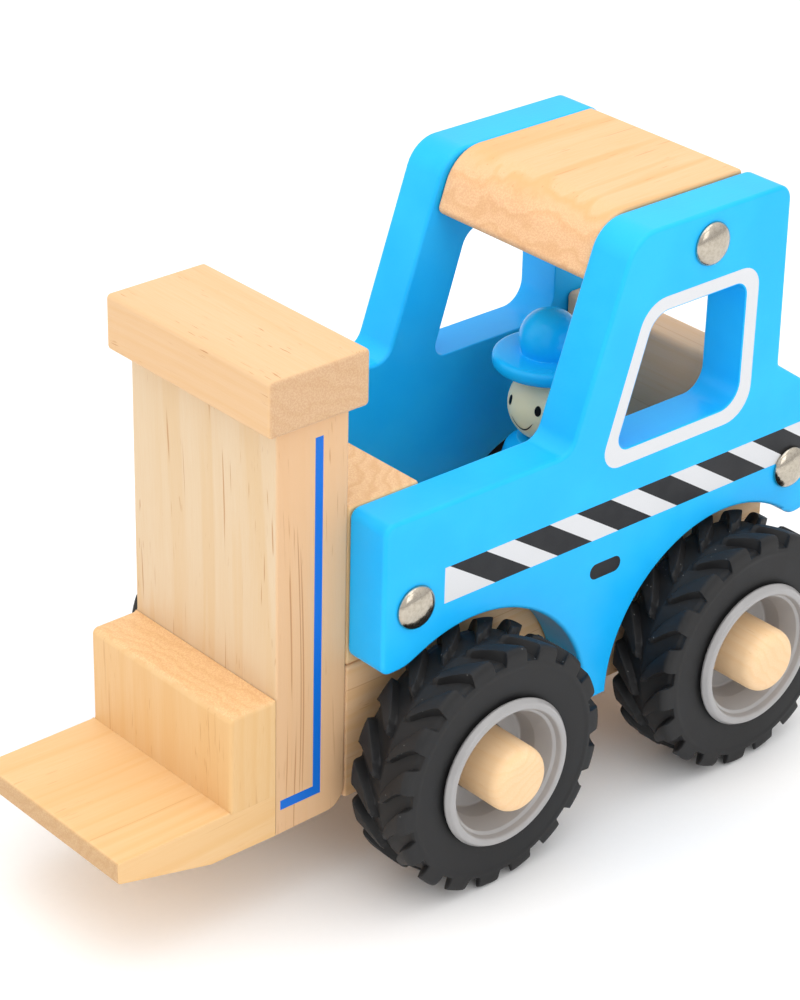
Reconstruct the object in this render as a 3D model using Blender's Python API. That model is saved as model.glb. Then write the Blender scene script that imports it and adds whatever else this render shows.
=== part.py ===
"""Wooden toy forklift.

Two painted side panels are nailed to pine blocks on a pine chassis beam. A pine mast with a carriage block
and a fork plate slides up and down in a dovetail groove at the front. Two dowel axles turn in the beam, each
with two rubber-tyred plastic wheels. A peg driver stands in the cab.

The forks point along -Y, +Z is up, and +X is the vehicle's left. The origin lies on the ground, in the middle
of the object's box. Dimensions are in millimetres; add_object() turns them into metres.
"""

import math

import bmesh
import bpy
from mathutils import Vector

MM = 0.001
GAP = 0.3  # between pieces that touch or turn in each other
CUT_SPARE = 5.0  # how far a cutter runs past the face it opens

# Chassis, blocks and panels
BLOCK_HALF = 25.0
PANEL_INNER = BLOCK_HALF + GAP
PANEL_THICK = 12.0
PANEL_OUTER = PANEL_INNER + PANEL_THICK
FRONT_Y = -37.5
REAR_Y = 101.0
HOOD_TOP = 95.7
ROOF_TOP = 144.1
CAB_REAR_Y = 84.2
EDGE_ROUND = 1.1
BLOCK_ROUND = 0.8

BEAM_BOTTOM = 20.7
BEAM_TOP = 55.5
BEAM_REAR_Y = 97.2
HOOD_REAR_Y = -17.1
REAR_BLOCK_FRONT_Y = 75.5
DECK_START = (85.0, 97.6)  # where the rear deck slopes down behind the cab
DECK_SLOPE = -0.70

PILLAR_FOOT_Y = 17.1
PILLAR_LEAN = 0.35  # run along Y for each unit of height

# Wheels
WHEEL_RADIUS = 30.5
FRONT_AXLE_Y = -12.0
WHEELBASE = 81.5
REAR_AXLE_Y = FRONT_AXLE_Y + WHEELBASE
ARCH_RADIUS = 36.4
ARCH_Z = 27.5
FRONT_ARCH_Y = -10.6
REAR_ARCH_Y = 69.4
AXLE_RADIUS = 8.0
AXLE_HALF = 57.0
TYRE_OUTER_X = 50.4
TYRE_INNER_X = 31.9
TYRE_BORE = 16.8
TREAD_DEPTH = 2.8
LUGS = 18  # on each shoulder
LUG_HALF = 4.6  # degrees round the axle
LUG_FLANK = 0.8
LUG_LEAN = 18.0
RIM_FLANGE_X = 52.4
RIM_SEGMENTS = 24

# Mast and fork
MAST_BACK_Y = FRONT_Y - GAP
MAST_DEPTH = 19.8
MAST_FRONT_Y = MAST_BACK_Y - MAST_DEPTH
MAST_HALF = 25.4
MAST_BOTTOM = 19.6
MAST_TOP = 120.5
CAP_HALF = 28.4
CAP_HEIGHT = 13.4
CAP_FRONT_Y = MAST_FRONT_Y - 4.3
CAP_BACK_Y = MAST_BACK_Y + 3.1
CARRIAGE_FRONT_Y = -70.4
CARRIAGE_TOP = 54.9
PLATE_TOP = 30.9
PLATE_TIP_Y = -101.0
PLATE_RAMP_Y = -75.7
PLATE_TIP_THICK = 5.4
HOUSING_DEPTH = 0.5  # how deep the carriage block is let into the plate

# Dovetail slide, hidden behind the mast
KEY_NECK_HALF = 6.0
KEY_TAIL_HALF = 9.0
KEY_DEPTH = 6.0
KEY_SOCKET = 4.0  # how deep the key is let into the mast
KEY_BOTTOM = 26.0
KEY_TOP = 52.0
GROOVE_TOP = 88.0

# Fasteners
NAIL_HEAD_RADIUS = 5.3
NAIL_HEAD_HEIGHT = 2.3
NAIL_SHANK_RADIUS = 1.3
NAIL_LENGTH = 26.0
NAIL_POINT = 3.0
NAIL_PLACES = {"front": (-28.4, 73.3), "roof": (58.2, 136.1), "rear": (91.4, 68.7)}
DOWEL_RADIUS = 3.0
DOWEL_HALF = 8.0
DOWEL_SPARE = 1.0  # of each bore past the dowel's end
FORK_DOWEL_RADIUS = 2.5
FORK_DOWEL_X = 13.0
CARRIAGE_DOWEL_Z = 44.0
CARRIAGE_DOWEL_HALF = 6.0
PLATE_DOWEL_Z = 25.0

# Driver, turned about a vertical axis
DRIVER_Y = 45.5
DRIVER_SPIGOT_RADIUS = 5.0
DRIVER_SPIGOT_DEPTH = 12.0
NECK_Z = 77.2
HEAD_RADIUS = 9.4
HEAD_Z = 85.7
BRIM_RADIUS = 13.5
BRIM_BOTTOM = 95.5
BRIM_TOP = 99.1
DOME_RADIUS = 7.4
DOME_Z = 102.6

PINE = ("pine", (0.80, 0.61, 0.38), 0.55, 0.0)
PINE_DOWEL = ("pine_dowel", (0.78, 0.58, 0.34), 0.55, 0.0)
BLUE_PAINT = ("blue_paint", (0.05, 0.50, 0.90), 0.35, 0.0)
GREY_PLASTIC = ("grey_plastic", (0.42, 0.43, 0.44), 0.25, 0.0)
BLACK_RUBBER = ("black_rubber", (0.02, 0.02, 0.022), 0.6, 0.0)
NICKEL = ("nickel", (0.70, 0.68, 0.64), 0.25, 1.0)
SKIN_PAINT = ("skin_paint", (0.78, 0.66, 0.48), 0.45, 0.0)


def clear_scene():
    for item in list(bpy.data.objects):
        bpy.data.objects.remove(item, do_unlink=True)


def material(look):
    """The material of this look, made once."""
    name, colour, roughness, metallic = look
    found = bpy.data.materials.get(name)
    if found:
        return found
    made = bpy.data.materials.new(name)
    made.use_nodes = True
    shader = made.node_tree.nodes["Principled BSDF"]
    shader.inputs["Base Color"].default_value = (*colour, 1.0)
    shader.inputs["Roughness"].default_value = roughness
    shader.inputs["Metallic"].default_value = metallic
    return made


def add_object(name, mesh_data, look=None, origin=(0.0, 0.0, 0.0), parent=None):
    """A new object from a bmesh in millimetres, with its origin at this point, in metres."""
    bmesh.ops.translate(mesh_data, verts=mesh_data.verts, vec=[-value for value in origin])
    bmesh.ops.scale(mesh_data, verts=mesh_data.verts, vec=(MM, MM, MM))
    bmesh.ops.recalc_face_normals(mesh_data, faces=mesh_data.faces)
    mesh = bpy.data.meshes.new(name)
    mesh_data.to_mesh(mesh)
    mesh_data.free()
    item = bpy.data.objects.new(name, mesh)
    bpy.context.scene.collection.objects.link(item)
    item.location = [value * MM for value in origin]
    if look:
        mesh.materials.append(material(look))
    if parent:
        item.parent = parent
        item.location = [value * MM - offset for value, offset in zip(origin, parent.location)]
    return item


def add_pivot(name, place):
    """An empty on a joint's axis, which carries the pieces that move with it."""
    pivot = bpy.data.objects.new(name, None)
    pivot.location = [value * MM for value in place]
    pivot.empty_display_size = 0.01
    bpy.context.scene.collection.objects.link(pivot)
    return pivot


def shade_round(item):
    item.data.shade_smooth()
    item.data.set_sharp_from_angle(angle=math.radians(35))


def add_bevel(item, width, segments=2, angle=35):
    """Rounds the edges that are sharper than this angle."""
    bevel = item.modifiers.new("edge_round", "BEVEL")
    bevel.width = width * MM
    bevel.segments = segments
    bevel.limit_method = "ANGLE"
    bevel.angle_limit = math.radians(angle)
    bevel.use_clamp_overlap = True


def cut(item, cutter):
    """Takes the cutter's shape out of the object."""
    cutter.hide_render = True
    cutter.display_type = "WIRE"
    boolean = item.modifiers.new("cut_" + cutter.name, "BOOLEAN")
    boolean.operation = "DIFFERENCE"
    boolean.solver = "EXACT"
    boolean.object = cutter


def rounded_outline(corners, steps=3):
    """Points of a closed outline through corners of (a, b, radius), each turned by an arc of its radius."""
    points = []
    for index, (a, b, radius) in enumerate(corners):
        corner = Vector((a, b))
        if radius == 0:
            points.append(tuple(corner))
            continue
        before = (Vector(corners[index - 1][:2]) - corner).normalized()
        after = (Vector(corners[(index + 1) % len(corners)][:2]) - corner).normalized()
        half = before.angle(after) / 2
        centre = corner + (before + after).normalized() * (radius / math.sin(half))
        start = corner + before * (radius / math.tan(half)) - centre
        end = corner + after * (radius / math.tan(half)) - centre
        first = math.atan2(start.y, start.x)
        turn = (math.atan2(end.y, end.x) - first + math.pi) % (2 * math.pi) - math.pi
        points += arc(centre.x, centre.y, radius, first, first + turn, steps)
    return points


def arc(a, b, radius, first, last, steps):
    """Points on a circle's arc, both ends included."""
    angles = [first + (last - first) * step / steps for step in range(steps + 1)]
    return [(a + radius * math.cos(angle), b + radius * math.sin(angle)) for angle in angles]


def prism(outline, low, high, axis="X"):
    """A bmesh prism: the outline's (Y, Z) points pushed along X, or its (X, Y) points pushed along Z."""
    shape = bmesh.new()
    rings = []
    for level in (low, high):
        if axis == "X":
            rings.append([shape.verts.new((level, a, b)) for a, b in outline])
        else:
            rings.append([shape.verts.new((a, b, level)) for a, b in outline])
    count = len(outline)
    for index in range(count):
        following = (index + 1) % count
        shape.faces.new((rings[0][index], rings[0][following], rings[1][following], rings[1][index]))
    shape.faces.new(rings[0])
    shape.faces.new(rings[1])
    return shape


def box(low, high):
    """A bmesh box between two corners."""
    outline = [(low[1], low[2]), (high[1], low[2]), (high[1], high[2]), (low[1], high[2])]
    return prism(outline, low[0], high[0])


def turned(profile, segments, axis="X", centre=(0.0, 0.0), mirror=1):
    """A bmesh turned solid. The profile's points are (along, radius); a radius of 0 closes the end."""
    shape = bmesh.new()
    rings = []
    for along, radius in profile:
        count = segments if radius > 0 else 1
        ring = []
        for step in range(count):
            angle = 2 * math.pi * step / segments - math.pi / 2
            a = centre[0] + radius * math.cos(angle)
            b = centre[1] + radius * math.sin(angle)
            place = (mirror * along, a, b) if axis == "X" else (a, b, along)
            ring.append(shape.verts.new(place))
        rings.append(ring)
    pairs = list(zip(rings, rings[1:]))
    if profile[0][1] > 0 and profile[-1][1] > 0:
        pairs.append((rings[-1], rings[0]))
    for first, second in pairs:
        for step in range(segments):
            corners = [first[step % len(first)], first[(step + 1) % len(first)]]
            corners += [second[(step + 1) % len(second)], second[step % len(second)]]
            shape.faces.new(list(dict.fromkeys(corners)))
    return shape


def rod(low, high, radius, centre, axis="X", segments=12):
    """A bmesh cylinder with flat ends."""
    return turned([(low, 0), (low, radius), (high, radius), (high, 0)], segments, axis, centre)


def make_holes(item, bores):
    """Cuts round holes, each given as (low, high, radius, centre, axis)."""
    for number, (low, high, radius, centre, axis) in enumerate(bores):
        cut(item, add_object(f"{item.name}_bore_{number}", rod(low, high, radius, centre, axis)))


def arch_corner(arch_y, leave, level):
    """Y of the point at this level on the arch's tangent at the angle where the outline leaves the arch."""
    drop = (ARCH_Z + ARCH_RADIUS * math.sin(leave) - level) / abs(math.cos(leave))
    return arch_y + ARCH_RADIUS * math.cos(leave) + math.copysign(drop, math.cos(leave)) * math.sin(leave)


def panel_outline():
    """The side panel's (Y, Z) outline, from the front over the cab and back along the wheel arches."""
    front_lobe = 58.4
    rear_lobe = 54.7
    front_leave = math.radians(114)
    rear_leave = math.radians(50)
    rear_arch = arc(REAR_ARCH_Y, ARCH_Z, ARCH_RADIUS, rear_leave, math.pi, 13)
    front_arch = arc(FRONT_ARCH_Y, ARCH_Z, ARCH_RADIUS, 0.0, front_leave, 12)
    corners = [
        (FRONT_Y, front_lobe, 2.5),
        (FRONT_Y, HOOD_TOP, 2.5),
        (PILLAR_FOOT_Y, HOOD_TOP, 5.0),
        (PILLAR_FOOT_Y + PILLAR_LEAN * (ROOF_TOP - HOOD_TOP), ROOF_TOP, 9.0),
        (CAB_REAR_Y, ROOF_TOP, 4.0),
        (*DECK_START, 1.5),
        (REAR_Y, deck_height(REAR_Y), 8.0),
        (REAR_Y, rear_lobe, 5.0),
        (arch_corner(REAR_ARCH_Y, rear_leave, rear_lobe), rear_lobe, 4.0),
        *[(y, z, 0) for y, z in rear_arch + front_arch],
        (arch_corner(FRONT_ARCH_Y, front_leave, front_lobe), front_lobe, 11.0),
    ]
    return rounded_outline(corners)


def deck_height(y):
    """Height of the rear deck, which slopes down behind the cab."""
    return DECK_START[1] + DECK_SLOPE * (y - DECK_START[0])


def window_outline():
    """The cab window's (Y, Z) outline; its front edge leans with the pillar."""
    bottom, top, rear, front_foot = 91.8, 123.1, 71.2, 31.2
    lean = 0.33
    return rounded_outline(
        [
            (front_foot, bottom, 3.0),
            (rear, bottom, 6.0),
            (rear, top, 3.5),
            (front_foot + lean * (top - bottom), top, 6.0),
        ]
    )


def nail_bores(block_low, block_high, side, names):
    """Bores for the nails whose heads are outside the panel on this side, through this stretch of X."""
    bores = []
    for name in names:
        low, high = sorted((side * block_low, side * block_high))
        bores.append((low, high, NAIL_SHANK_RADIUS + GAP, NAIL_PLACES[name], "X"))
    return bores


def add_panels():
    for name, side in (("side_panel_left", 1), ("side_panel_right", -1)):
        low, high = sorted((side * PANEL_INNER, side * PANEL_OUTER))
        panel = add_object(name, prism(panel_outline(), low, high), BLUE_PAINT)
        add_bevel(panel, EDGE_ROUND)
        cut(panel, add_object(name + "_window", prism(window_outline(), low - CUT_SPARE, high + CUT_SPARE)))
        make_holes(panel, nail_bores(PANEL_INNER - CUT_SPARE, PANEL_OUTER + CUT_SPARE, side, NAIL_PLACES))
        shade_round(panel)


def add_block(name, corners, nails=()):
    """A pine block between the panels, with its (Y, Z) outline and bores for the nails of both sides."""
    block = add_object(name, prism(rounded_outline(corners), -BLOCK_HALF, BLOCK_HALF), PINE)
    add_bevel(block, BLOCK_ROUND)
    bore_end = PANEL_OUTER + GAP - NAIL_LENGTH - DOWEL_SPARE
    for side in (1, -1):
        for number, bore in enumerate(nail_bores(bore_end, BLOCK_HALF + CUT_SPARE, side, nails)):
            cut(block, add_object(f"{name}_nail_{side}_{number}", rod(*bore)))
    return block


def dowel_places(y, spread):
    """(X, Y) places of a pair of glued dowels."""
    return {"left": (spread, y), "right": (-spread, y)}


def add_upright_dowels(prefix, level, places, pieces):
    """Glued dowels across a joint at this height, and their bores in the two pieces."""
    for side, place in places.items():
        dowel = rod(level - DOWEL_HALF, level + DOWEL_HALF, DOWEL_RADIUS, place, "Z")
        item = add_object(f"{prefix}_{side}", dowel, PINE_DOWEL, (*place, level))
        shade_round(item)
        for piece in pieces:
            reach = DOWEL_HALF + DOWEL_SPARE
            bore = (level - reach, level + reach, DOWEL_RADIUS + GAP, place, "Z")
            cut(piece, add_object(f"{piece.name}_{prefix}_{side}", rod(*bore)))


def slide_outline(neck_y, tail_y, spare):
    """The dovetail's (X, Y) outline, wider at its tail, grown by a clearance."""
    neck = KEY_NECK_HALF + spare
    tail = KEY_TAIL_HALF + spare
    left = [(neck, neck_y), (neck, FRONT_Y), (tail, tail_y)]
    return left + [(-x, y) for x, y in reversed(left)]


def add_chassis():
    beam = add_block(
        "chassis_beam",
        [
            (FRONT_Y, BEAM_BOTTOM, 1.5),
            (BEAM_REAR_Y, BEAM_BOTTOM, 1.5),
            (BEAM_REAR_Y, BEAM_TOP, 0),
            (FRONT_Y, BEAM_TOP, 0),
        ],
    )
    for y in (FRONT_AXLE_Y, REAR_AXLE_Y):
        reach = BLOCK_HALF + CUT_SPARE
        bore = rod(-reach, reach, AXLE_RADIUS + GAP, (y, WHEEL_RADIUS), "X", RIM_SEGMENTS)
        cut(beam, add_object(f"axle_bore_{y:.0f}", bore))
    hood = add_block(
        "hood_block",
        [
            (FRONT_Y, BEAM_TOP + GAP, 0),
            (HOOD_REAR_Y, BEAM_TOP + GAP, 0),
            (HOOD_REAR_Y, HOOD_TOP, 1.0),
            (FRONT_Y, HOOD_TOP, 1.0),
        ],
        ["front"],
    )
    rear = add_block(
        "rear_block",
        [
            (REAR_BLOCK_FRONT_Y, BEAM_TOP + GAP, 0),
            (BEAM_REAR_Y, BEAM_TOP + GAP, 0),
            (BEAM_REAR_Y, deck_height(BEAM_REAR_Y), 4.0),
            (DECK_START[0], DECK_START[1] - GAP, 3.0),
            (REAR_BLOCK_FRONT_Y, DECK_START[1] - GAP, 1.5),
        ],
        ["rear"],
    )
    roof_bottom = 129.3
    roof_top = 144.6
    roof_front = 29.8
    roof_rear = 80.6
    add_block(
        "roof_block",
        [
            (roof_front, roof_bottom, 1.8),
            (roof_rear, roof_bottom, 1.0),
            (roof_rear, roof_top, 1.2),
            (roof_front + PILLAR_LEAN * (roof_top - roof_bottom), roof_top, 11.0),
        ],
        ["roof"],
    )
    groove_back_y = FRONT_Y + KEY_DEPTH + GAP
    outline = slide_outline(FRONT_Y - CUT_SPARE, groove_back_y, GAP)
    groove = prism(outline, BEAM_BOTTOM - CUT_SPARE, GROOVE_TOP, "Z")
    cutter = add_object("slide_groove", groove)
    cut(beam, cutter)
    cut(hood, cutter)
    add_upright_dowels("hood_dowel", BEAM_TOP + GAP / 2, dowel_places(y=-23.0, spread=17.0), (beam, hood))
    add_upright_dowels("rear_dowel", BEAM_TOP + GAP / 2, dowel_places(y=86.0, spread=14.0), (beam, rear))
    return beam


def add_nails():
    """Dome-headed nails: each holds a panel to a block."""
    head_face = PANEL_OUTER + GAP
    rim = NAIL_HEAD_RADIUS
    sphere = (rim**2 + NAIL_HEAD_HEIGHT**2) / (2 * NAIL_HEAD_HEIGHT)
    dome = []
    for share in (1.0, 0.75, 0.4):
        drop = sphere - math.sqrt(sphere**2 - (rim * share) ** 2)
        dome.append((head_face + NAIL_HEAD_HEIGHT - drop, rim * share))
    tip = head_face - NAIL_LENGTH
    profile = [(tip, 0), (tip + NAIL_POINT, NAIL_SHANK_RADIUS), (head_face, NAIL_SHANK_RADIUS)]
    profile += [(head_face, rim - 0.3), (head_face + 0.2, rim), *dome[1:], (head_face + NAIL_HEAD_HEIGHT, 0)]
    for side_name, side in (("left", 1), ("right", -1)):
        for name, place in NAIL_PLACES.items():
            shape = turned(profile, 12, "X", place, side)
            nail = add_object(f"nail_{name}_{side_name}", shape, NICKEL, (side * head_face, *place))
            shade_round(nail)


def rim_profile():
    """(X, radius) outline of the left wheel's plastic rim: hub sleeve, dished web, barrel and flange."""
    bore = AXLE_RADIUS + GAP
    barrel = TYRE_BORE - GAP
    dish_floor = 42.0
    web_back = dish_floor - 2.4
    hub_end = PANEL_INNER + GAP
    return [
        (hub_end, bore),
        (dish_floor, bore),
        (dish_floor, 12.4),
        (RIM_FLANGE_X - 2.0, 14.0),
        (RIM_FLANGE_X - 0.4, 14.8),
        (RIM_FLANGE_X, 16.2),
        (RIM_FLANGE_X - 0.3, 17.8),
        (RIM_FLANGE_X - 1.1, 18.5),
        (RIM_FLANGE_X - 1.8, 18.1),
        (RIM_FLANGE_X - 1.9, barrel),
        (TYRE_INNER_X + 0.6, barrel),
        (TYRE_INNER_X + 0.6, barrel - 1.6),
        (web_back, barrel - 2.4),
        (web_back, bore + 2.6),
        (hub_end, bore + 2.4),
    ]


def tyre_shape(centre, side):
    """A tyre as a closed grid: lugs alternate between the shoulders and lean towards the middle in a V."""
    middle = (TYRE_OUTER_X + TYRE_INNER_X) / 2
    reach = TYRE_OUTER_X - middle
    lug_half = math.radians(LUG_HALF)
    lug_side = math.radians(LUG_FLANK)
    lean = math.radians(LUG_LEAN)
    crown = WHEEL_RADIUS
    valley = crown - TREAD_DEPTH
    # (share of the half width, radius on a lug, radius between lugs, share of the lean)
    half_rows = [
        (0.90, TYRE_BORE, TYRE_BORE, 0.0),
        (1.00, 23.0, 23.0, 0.0),
        (0.98, crown - 1.1, valley - 0.8, 0.0),
        (0.84, crown, valley, 0.15),
    ]
    rows = [(1, row) for row in half_rows]
    rows.append((1, (0.0, crown - 1.0, crown - 1.0, 1.0)))
    rows += [(-1, row) for row in reversed(half_rows)]
    steps = [(-lug_half - lug_side, False), (-lug_half, True), (lug_half, True), (lug_half + lug_side, False)]
    lowest = -math.pi / 2 - lug_half - 0.15 * lean  # puts a corner of a lug exactly at the bottom
    shape = bmesh.new()
    rings = []
    for shoulder, (share, lug_radius, valley_radius, lean_share) in rows:
        ring = []
        for lug in range(LUGS):
            for offset, on_lug in steps:
                raised = on_lug if shoulder > 0 else not on_lug
                radius = lug_radius if raised else valley_radius
                angle = lowest + 2 * math.pi * lug / LUGS + offset + lean_share * lean
                y = centre[0] + radius * math.cos(angle)
                z = centre[1] + radius * math.sin(angle)
                ring.append(shape.verts.new((side * (middle + shoulder * share * reach), y, z)))
        rings.append(ring)
    for first, second in zip(rings, rings[1:] + rings[:1]):
        for step in range(len(first)):
            following = (step + 1) % len(first)
            shape.faces.new((first[step], first[following], second[following], second[step]))
    return shape


def axle_profile():
    """(X, radius) outline of a dowel axle with rounded ends."""
    rounding = 3.6
    corner = arc(AXLE_HALF - rounding, AXLE_RADIUS - rounding, rounding, math.pi / 2, 0.0, 3)
    right = [(-along, radius) for along, radius in reversed(corner)]
    return [(-AXLE_HALF, 0), *right, *corner, (AXLE_HALF, 0)]


def add_wheels():
    """Two axles, each turning in the beam with the two wheels that are pressed on it."""
    for end, y in (("front", FRONT_AXLE_Y), ("rear", REAR_AXLE_Y)):
        centre = (y, WHEEL_RADIUS)
        pivot = add_pivot(f"{end}_axle_pivot", (0.0, *centre))
        axle_shape = turned(axle_profile(), RIM_SEGMENTS, "X", centre)
        axle = add_object(f"{end}_axle", axle_shape, PINE_DOWEL, (0.0, *centre), pivot)
        shade_round(axle)
        for side_name, side in (("left", 1), ("right", -1)):
            name = f"{end}_{side_name}"
            rim = turned(rim_profile(), RIM_SEGMENTS, "X", centre, side)
            shade_round(add_object(f"rim_{name}", rim, GREY_PLASTIC, (0.0, *centre), pivot))
            tyre = tyre_shape(centre, side)
            shade_round(add_object(f"tyre_{name}", tyre, BLACK_RUBBER, (0.0, *centre), pivot))


def add_mast_block(name, corners, half, pivot, bevel):
    """A pine piece of the mast, with its (Y, Z) outline."""
    shape = prism(rounded_outline(corners), -half, half)
    block = add_object(name, shape, PINE, (0.0, MAST_BACK_Y, MAST_BOTTOM), pivot)
    add_bevel(block, bevel)
    return block


def add_mast():
    """The sliding mast: post, cap, carriage block, fork plate and the dovetail key at its back."""
    pivot = add_pivot("mast_slide", (0.0, MAST_BACK_Y, MAST_BOTTOM))
    post = add_mast_block(
        "mast_post",
        [
            (MAST_FRONT_Y, MAST_BOTTOM, 1.0),
            (MAST_BACK_Y, MAST_BOTTOM, 5.0),
            (MAST_BACK_Y, MAST_TOP, 0),
            (MAST_FRONT_Y, MAST_TOP, 0),
        ],
        MAST_HALF,
        pivot,
        BLOCK_ROUND,
    )
    cap_bottom = MAST_TOP + GAP
    cap_round = 1.4
    cap = add_mast_block(
        "mast_cap",
        [
            (CAP_FRONT_Y, cap_bottom, cap_round),
            (CAP_BACK_Y, cap_bottom, cap_round),
            (CAP_BACK_Y, cap_bottom + CAP_HEIGHT, cap_round),
            (CAP_FRONT_Y, cap_bottom + CAP_HEIGHT, cap_round),
        ],
        CAP_HALF,
        pivot,
        BLOCK_ROUND,
    )
    carriage_back = MAST_FRONT_Y - GAP
    housing_top = PLATE_TOP - HOUSING_DEPTH
    carriage = add_mast_block(
        "fork_carriage_block",
        [
            (CARRIAGE_FRONT_Y, housing_top + GAP, 0),
            (carriage_back, housing_top + GAP, 0),
            (carriage_back, CARRIAGE_TOP, 1.0),
            (CARRIAGE_FRONT_Y, CARRIAGE_TOP, 2.5),
        ],
        MAST_HALF,
        pivot,
        1.5,
    )
    plate = add_mast_block(
        "fork_plate",
        [
            (carriage_back, MAST_BOTTOM, 0),
            (carriage_back, housing_top, 0),
            (CARRIAGE_FRONT_Y - GAP, housing_top, 0),
            (CARRIAGE_FRONT_Y - GAP, PLATE_TOP, 0),
            (PLATE_TIP_Y, PLATE_TOP, 1.4),
            (PLATE_TIP_Y, PLATE_TOP - PLATE_TIP_THICK, 1.4),
            (PLATE_RAMP_Y, MAST_BOTTOM, 0),
        ],
        MAST_HALF,
        pivot,
        0.4,
    )
    key_front = MAST_BACK_Y - KEY_SOCKET
    outline = slide_outline(key_front, FRONT_Y + KEY_DEPTH, 0.0)
    key = prism(outline, KEY_BOTTOM, KEY_TOP, "Z")
    add_object("mast_slide_key", key, PINE_DOWEL, (0.0, MAST_BACK_Y, MAST_BOTTOM), pivot)
    socket = KEY_NECK_HALF + GAP
    low = (-socket, key_front - GAP, KEY_BOTTOM - GAP)
    high = (socket, MAST_BACK_Y + CUT_SPARE, KEY_TOP + GAP)
    cut(post, add_object("key_socket", box(low, high)))
    post_middle = (MAST_FRONT_Y + MAST_BACK_Y) / 2
    add_upright_dowels("cap_dowel", MAST_TOP + GAP / 2, dowel_places(y=post_middle, spread=14.0), (post, cap))
    add_level_dowels("fork_carriage_dowel", CARRIAGE_DOWEL_Z, CARRIAGE_DOWEL_HALF, (post, carriage))
    add_level_dowels("fork_plate_dowel", PLATE_DOWEL_Z, DOWEL_HALF, (post, plate))


def add_level_dowels(prefix, level, half, pieces):
    """A pair of level dowels at this height, across the joint at the mast's front, and their bores."""
    joint_y = MAST_FRONT_Y - GAP / 2
    for side, x in (("left", FORK_DOWEL_X), ("right", -FORK_DOWEL_X)):
        dowel = level_rod(joint_y - half, joint_y + half, FORK_DOWEL_RADIUS, (x, level))
        shade_round(add_object(f"{prefix}_{side}", dowel, PINE_DOWEL))
        for piece in pieces:
            reach = half + DOWEL_SPARE
            bore = level_rod(joint_y - reach, joint_y + reach, FORK_DOWEL_RADIUS + GAP, (x, level))
            cut(piece, add_object(f"{piece.name}_{prefix}_{side}", bore))


def level_rod(low, high, radius, centre):
    """A bmesh cylinder along Y, centred at this (X, Z)."""
    shape = rod(low, high, radius, (centre[1], -centre[0]), "X")
    for vertex in shape.verts:
        along, a, b = vertex.co
        vertex.co = (-b, along, a)
    return shape


def add_driver(beam):
    """A peg driver: the body's spigot stands in the beam, and the head and the hat are turned pieces."""
    base = BEAM_TOP + GAP
    centre = (0.0, DRIVER_Y)
    body = [
        (base - DRIVER_SPIGOT_DEPTH, 0),
        (base - DRIVER_SPIGOT_DEPTH, DRIVER_SPIGOT_RADIUS),
        (base, DRIVER_SPIGOT_RADIUS),
        (base, 12.0),
        (base + 1.0, 12.6),
        (62.0, 12.0),
        (70.0, 10.8),
        (74.5, 9.6),
        (NECK_Z - GAP, 7.0),
        (NECK_Z - GAP, 0),
    ]
    bore_end = base - DRIVER_SPIGOT_DEPTH - DOWEL_SPARE
    bore = (bore_end, base + CUT_SPARE, DRIVER_SPIGOT_RADIUS + GAP, centre, "Z")
    cut(beam, add_object("driver_bore", rod(*bore)))
    head = [(NECK_Z, 0)]
    low = math.asin((NECK_Z - HEAD_Z) / HEAD_RADIUS)
    high = math.asin((BRIM_BOTTOM - 3 * GAP - HEAD_Z) / HEAD_RADIUS)
    rows = 8
    for row in range(rows + 1):
        angle = low + (high - low) * row / rows
        head.append((HEAD_Z + HEAD_RADIUS * math.sin(angle), HEAD_RADIUS * math.cos(angle)))
    head.append((head[-1][0], 0))
    hat = [(BRIM_BOTTOM, 0), (BRIM_BOTTOM, BRIM_RADIUS - 0.8), (BRIM_BOTTOM + 0.8, BRIM_RADIUS)]
    hat += [(BRIM_TOP - 1.0, BRIM_RADIUS), (BRIM_TOP, BRIM_RADIUS - 1.2)]
    first = math.asin((BRIM_TOP - DOME_Z) / DOME_RADIUS)
    rows = 6
    for row in range(rows):
        angle = first + (math.pi / 2 - first) * row / rows
        hat.append((DOME_Z + DOME_RADIUS * math.sin(angle), DOME_RADIUS * math.cos(angle)))
    hat.append((DOME_Z + DOME_RADIUS, 0))
    for name, profile, look in (
        ("driver_body", body, BLUE_PAINT),
        ("driver_head", head, SKIN_PAINT),
        ("driver_hat", hat, BLUE_PAINT),
    ):
        origin = (*centre, base)
        shade_round(add_object(name, turned(profile, 24, "Z", centre), look, origin))


def main():
    clear_scene()
    add_panels()
    beam = add_chassis()
    add_nails()
    add_wheels()
    add_mast()
    add_driver(beam)


main()
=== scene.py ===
"""Looks of the wooden toy forklift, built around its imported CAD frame.

Pine blocks, painted side panels with their printed markings, rubber-tyred wheels, dome nails and a peg
driver. The forks point along -Y and +Z is up. Lengths are in millimetres, and new_piece() makes them metres.
"""

import math

import bmesh
import bpy
from mathutils import Matrix, Vector
from mathutils.geometry import delaunay_2d_cdt


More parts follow.
